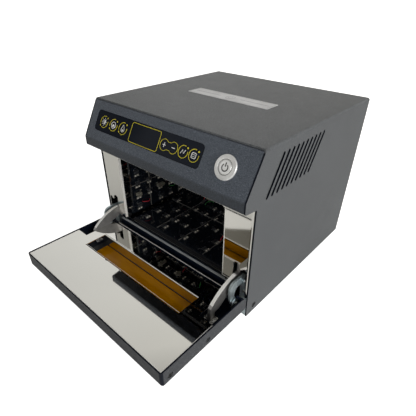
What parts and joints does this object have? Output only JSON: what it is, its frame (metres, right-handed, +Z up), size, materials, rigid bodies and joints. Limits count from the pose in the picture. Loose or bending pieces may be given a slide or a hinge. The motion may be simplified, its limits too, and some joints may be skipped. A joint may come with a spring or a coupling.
{
  "type": "benchtop curing oven",
  "caption": "Box-shaped benchtop curing oven with a sloped touch panel, a metal power button and a drop-down mirror door with an amber window.",
  "frame": {"origin": "middle of the footprint box with the door open, at the height of the feet's soles", "axes": "+Z up, +X to the right as seen from the front, +Y towards the rear; the door opens towards -Y"},
  "size_m": [0.26, 0.3888, 0.2137],
  "materials": {
    "cover_paint": "charcoal powder coat, fine texture, satin",
    "fascia_paint": "blue-grey charcoal powder coat, satin",
    "overlay_gloss": "glossy near-black navy touch panel with yellow line graphics",
    "screen": "dark display module",
    "board_black": "black circuit board",
    "mirror_steel": "stainless steel, mirror polished",
    "zinc_plate": "zinc plated steel, bluish",
    "steel": "turned stainless steel",
    "rail_navy": "dark navy paint, satin",
    "pale_trim": "pale grey ribbed strip",
    "amber": "clear amber acrylic",
    "rubber": "black rubber",
    "black_plastic": "black moulded plastic",
    "brass": "turned brass",
    "magnet": "plated magnet block"
  },
  "bodies": {
    "case": {"outer_cover": "cover_paint", "front_fascia": "fascia_paint", "control_overlay": "overlay_gloss", "display_module": "screen", "control_board": "board_black", "power_button_body": "steel", "power_button_nut": "brass", "front_frame": "mirror_steel", "front_rail": "rail_navy", "rail_trim": "pale_trim", "front_cross_member": "zinc_plate", "chamber_floor": "mirror_steel", "chamber_roof": "mirror_steel", "chamber_wall_left": "mirror_steel", "chamber_wall_right": "mirror_steel", "chamber_back": "mirror_steel", "led_board_floor": "board_black", "led_board_roof": "board_black", "led_board_left": "board_black", "led_board_right": "board_black", "led_board_back": "board_black", "base_plate": "zinc_plate", "rear_panel": "cover_paint", "fan_frame": "black_plastic", "fan_guard": "steel", "power_supply": "zinc_plate", "mains_inlet": "black_plastic", "gas_inlet_fitting": "brass", "foot_front_left": "rubber", "foot_front_right": "rubber", "foot_rear_left": "rubber", "foot_rear_right": "rubber", "door_stop_left": "rubber", "hinge_bracket_left": "zinc_plate", "cover_screw_left": "steel", "door_stop_right": "rubber", "hinge_bracket_right": "zinc_plate", "cover_screw_right": "steel", "door_sensor": "black_plastic"},
    "door": {"door_tray": "cover_paint", "door_mirror_plate": "mirror_steel", "door_window": "amber", "window_retainer": "black_plastic", "door_arm_left": "mirror_steel", "hinge_ear_left": "zinc_plate", "hinge_pin_left": "steel", "door_screw_left_1": "steel", "door_screw_left_2": "steel", "door_magnet_left": "magnet", "door_arm_right": "mirror_steel", "hinge_ear_right": "zinc_plate", "hinge_pin_right": "steel", "door_screw_right_1": "steel", "door_screw_right_2": "steel", "door_magnet_right": "magnet"},
    "power_button": {"power_button_cap": "steel"},
    "fan_wheel": {"fan_rotor": "black_plastic"}
  },
  "joints": [
    {"name": "door_hinge", "type": "hinge", "parent": "case", "child": "door", "pos_m": [0, -0.0731, 0.0319], "axis": [-1, 0, 0], "range_deg": [0, 90]},
    {"name": "power_button_push", "type": "slide", "parent": "case", "child": "power_button", "axis": [0, 0.8694, -0.494], "range_m": [0, 0.002], "stiffness_N_per_m": 500},
    {"name": "fan_spin", "type": "hinge", "parent": "case", "child": "fan_wheel", "pos_m": [0.052, 0.1696, 0.105], "axis": [0, 1, 0], "continuous": true}
  ]
}
